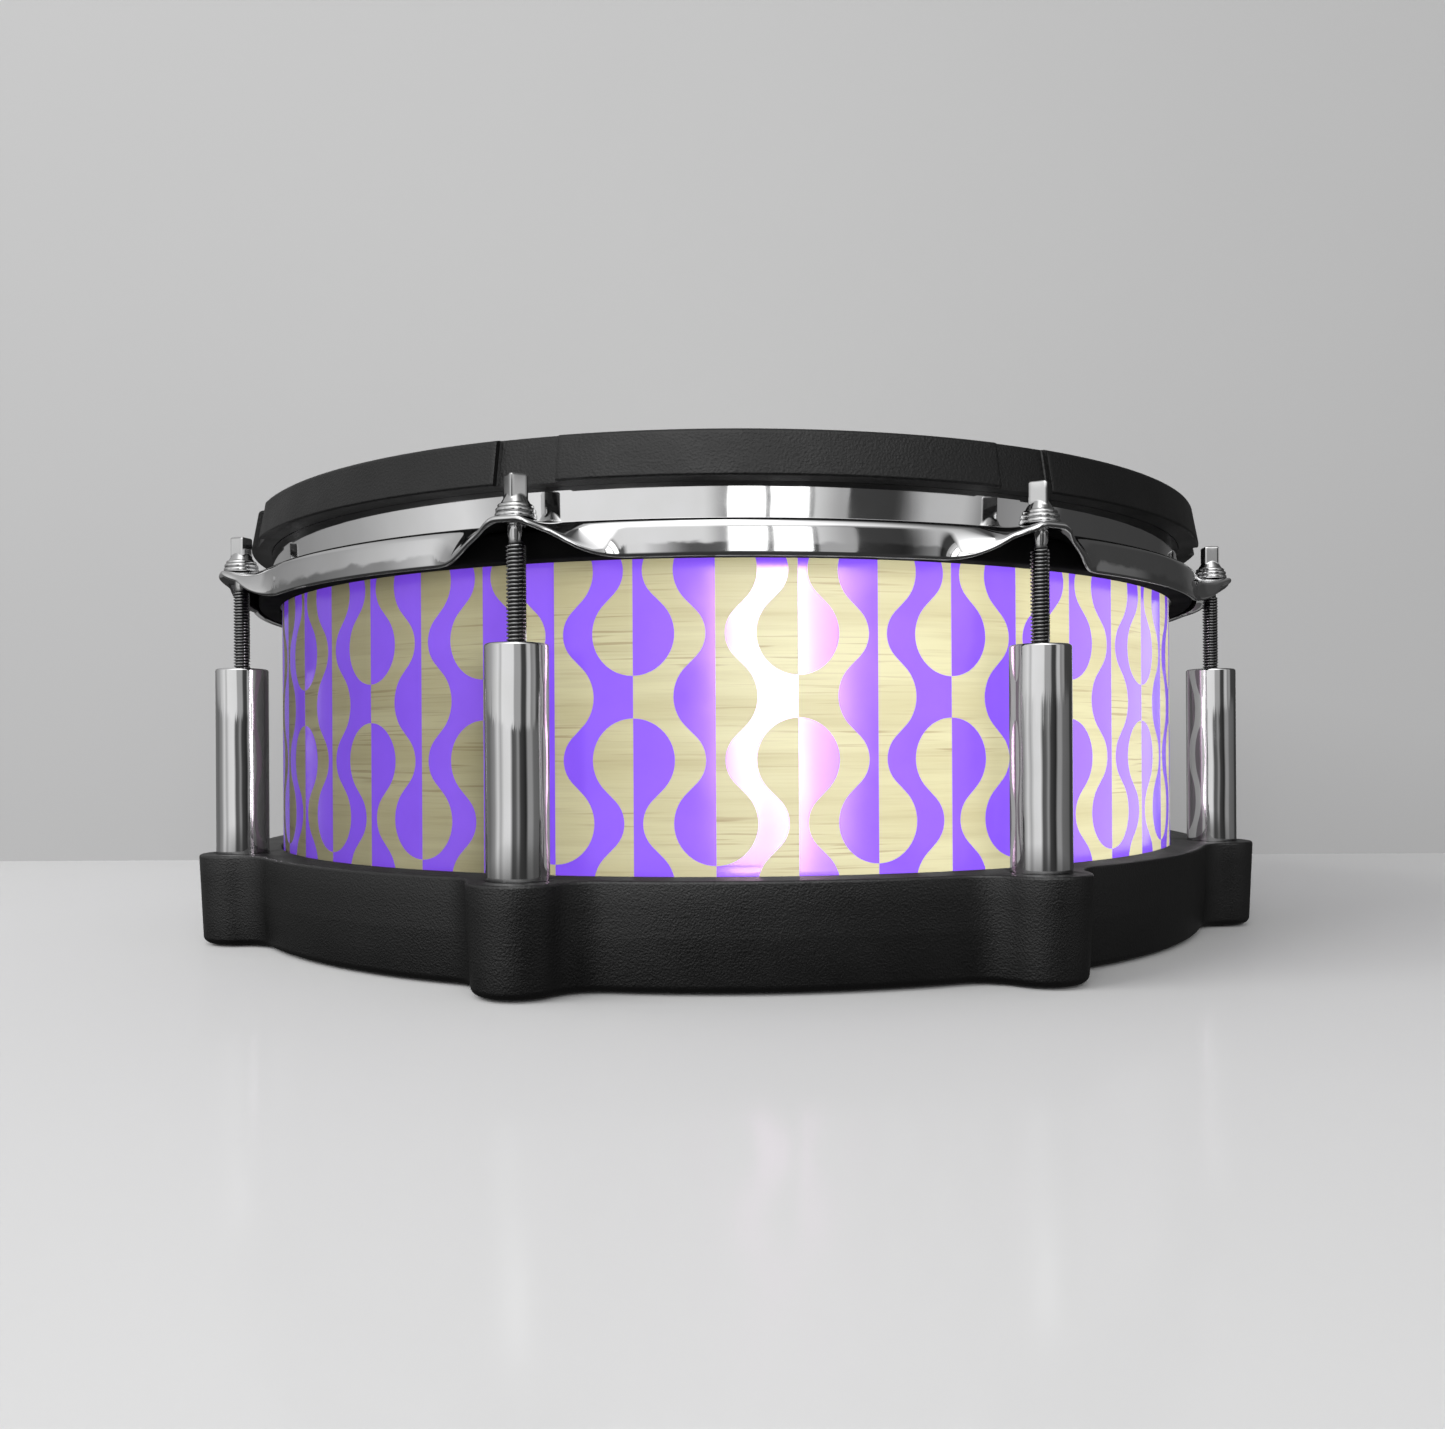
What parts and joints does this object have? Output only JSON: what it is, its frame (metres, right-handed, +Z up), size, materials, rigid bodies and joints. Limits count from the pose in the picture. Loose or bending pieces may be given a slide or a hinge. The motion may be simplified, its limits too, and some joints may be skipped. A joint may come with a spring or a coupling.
{
  "type": "snare drum",
  "caption": "Shallow electronic snare drum: printed wood shell on a lobed base, tube lugs, tension rods, pressed hoop with a rubber cover, mesh head and trigger sensors inside.",
  "frame": {"origin": "on the floor under the drum's centre, at the underside of the foot pads", "axes": "+Z up along the drum's axis, -Y towards the front, +Y towards the output jack"},
  "size_m": [0.3848, 0.3848, 0.1548],
  "materials": {
    "base_plastic": "fine-textured black moulding",
    "panel_plastic": "matt black moulding",
    "foot_rubber": "matt",
    "zinc_steel": "zinc plated",
    "shell_wood": "satin lacquer",
    "printed_wrap": "glossy printed sheet, violet on pale wood",
    "head_hoop_black": "semi-gloss black",
    "head_mesh": "woven polyester mesh",
    "chrome": "polished",
    "cover_rubber": "matt moulded rubber",
    "washer_steel": "bright zinc plated",
    "bridge_steel": "satin",
    "grommet_rubber": "matt",
    "pad_foam": "closed-cell foam",
    "sensor_brass": "plain",
    "cone_foam": "open-cell foam",
    "jack_plastic": "plain",
    "lead_pvc": "smooth"
  },
  "bodies": {
    "drum": {"base_frame": "base_plastic", "bottom_cover": "panel_plastic", "bridge_grommets": "grommet_rubber", "bridge_screws": "zinc_steel", "cover_screws": "zinc_steel", "foam_cone": "cone_foam", "foot_pads": "foot_rubber", "grommet_bolts": "zinc_steel", "head_hoop": "head_hoop_black", "head_sensor": "sensor_brass", "head_sensor_lead": "lead_pvc", "jack_nut": "chrome", "jack_plate": "base_plastic", "jack_plate_screws": "zinc_steel", "lug_nuts": "zinc_steel", "lug_plugs": "zinc_steel", "lug_screws": "zinc_steel", "lug_tube_1": "chrome", "lug_tube_2": "chrome", "lug_tube_3": "chrome", "lug_tube_4": "chrome", "lug_tube_5": "chrome", "lug_tube_6": "chrome", "lug_tube_7": "chrome", "lug_tube_8": "chrome", "mesh_head": "head_mesh", "output_jack": "jack_plastic", "printed_wrap": "printed_wrap", "rim_sensor": "sensor_brass", "rim_sensor_lead": "lead_pvc", "rim_sensor_pad": "pad_foam", "sensor_bridge": "bridge_steel", "sensor_pad": "pad_foam", "sensor_plate": "bridge_steel", "shell": "shell_wood"},
    "hoop": {"hoop": "chrome", "hoop_cover": "cover_rubber", "lower_washers": "chrome", "upper_washers": "washer_steel"},
    "tension_rod_1": {"tension_rod_1": "chrome"},
    "tension_rod_2": {"tension_rod_2": "chrome"},
    "tension_rod_3": {"tension_rod_3": "chrome"},
    "tension_rod_4": {"tension_rod_4": "chrome"},
    "tension_rod_5": {"tension_rod_5": "chrome"},
    "tension_rod_6": {"tension_rod_6": "chrome"},
    "tension_rod_7": {"tension_rod_7": "chrome"},
    "tension_rod_8": {"tension_rod_8": "chrome"}
  },
  "joints": [
    {"name": "hoop_lift", "type": "slide", "parent": "drum", "child": "hoop", "axis": [0, 0, 1], "range_m": [0, 0.006]},
    {"name": "rod_1_turn", "type": "hinge", "parent": "hoop", "child": "tension_rod_1", "pos_m": [0.17812, 0.07378, 0.1332], "axis": [0, 0, 1], "range_deg": [0, 2045]},
    {"name": "rod_2_turn", "type": "hinge", "parent": "hoop", "child": "tension_rod_2", "pos_m": [0.07378, 0.17812, 0.1332], "axis": [0, 0, 1], "range_deg": [0, 2045]},
    {"name": "rod_3_turn", "type": "hinge", "parent": "hoop", "child": "tension_rod_3", "pos_m": [-0.07378, 0.17812, 0.1332], "axis": [0, 0, 1], "range_deg": [0, 2045]},
    {"name": "rod_4_turn", "type": "hinge", "parent": "hoop", "child": "tension_rod_4", "pos_m": [-0.17812, 0.07378, 0.1332], "axis": [0, 0, 1], "range_deg": [0, 2045]},
    {"name": "rod_5_turn", "type": "hinge", "parent": "hoop", "child": "tension_rod_5", "pos_m": [-0.17812, -0.07378, 0.1332], "axis": [0, 0, 1], "range_deg": [0, 2045]},
    {"name": "rod_6_turn", "type": "hinge", "parent": "hoop", "child": "tension_rod_6", "pos_m": [-0.07378, -0.17812, 0.1332], "axis": [0, 0, 1], "range_deg": [0, 2045]},
    {"name": "rod_7_turn", "type": "hinge", "parent": "hoop", "child": "tension_rod_7", "pos_m": [0.07378, -0.17812, 0.1332], "axis": [0, 0, 1], "range_deg": [0, 2045]},
    {"name": "rod_8_turn", "type": "hinge", "parent": "hoop", "child": "tension_rod_8", "pos_m": [0.17812, -0.07378, 0.1332], "axis": [0, 0, 1], "range_deg": [0, 2045]}
  ],
  "couplings": [
    {"joint": "rod_1_turn", "follows": "hoop_lift", "rad_per_m": 5936.9},
    {"joint": "rod_2_turn", "follows": "hoop_lift", "rad_per_m": 5936.9},
    {"joint": "rod_3_turn", "follows": "hoop_lift", "rad_per_m": 5936.9},
    {"joint": "rod_4_turn", "follows": "hoop_lift", "rad_per_m": 5936.9},
    {"joint": "rod_5_turn", "follows": "hoop_lift", "rad_per_m": 5936.9},
    {"joint": "rod_6_turn", "follows": "hoop_lift", "rad_per_m": 5936.9},
    {"joint": "rod_7_turn", "follows": "hoop_lift", "rad_per_m": 5936.9},
    {"joint": "rod_8_turn", "follows": "hoop_lift", "rad_per_m": 5936.9}
  ]
}
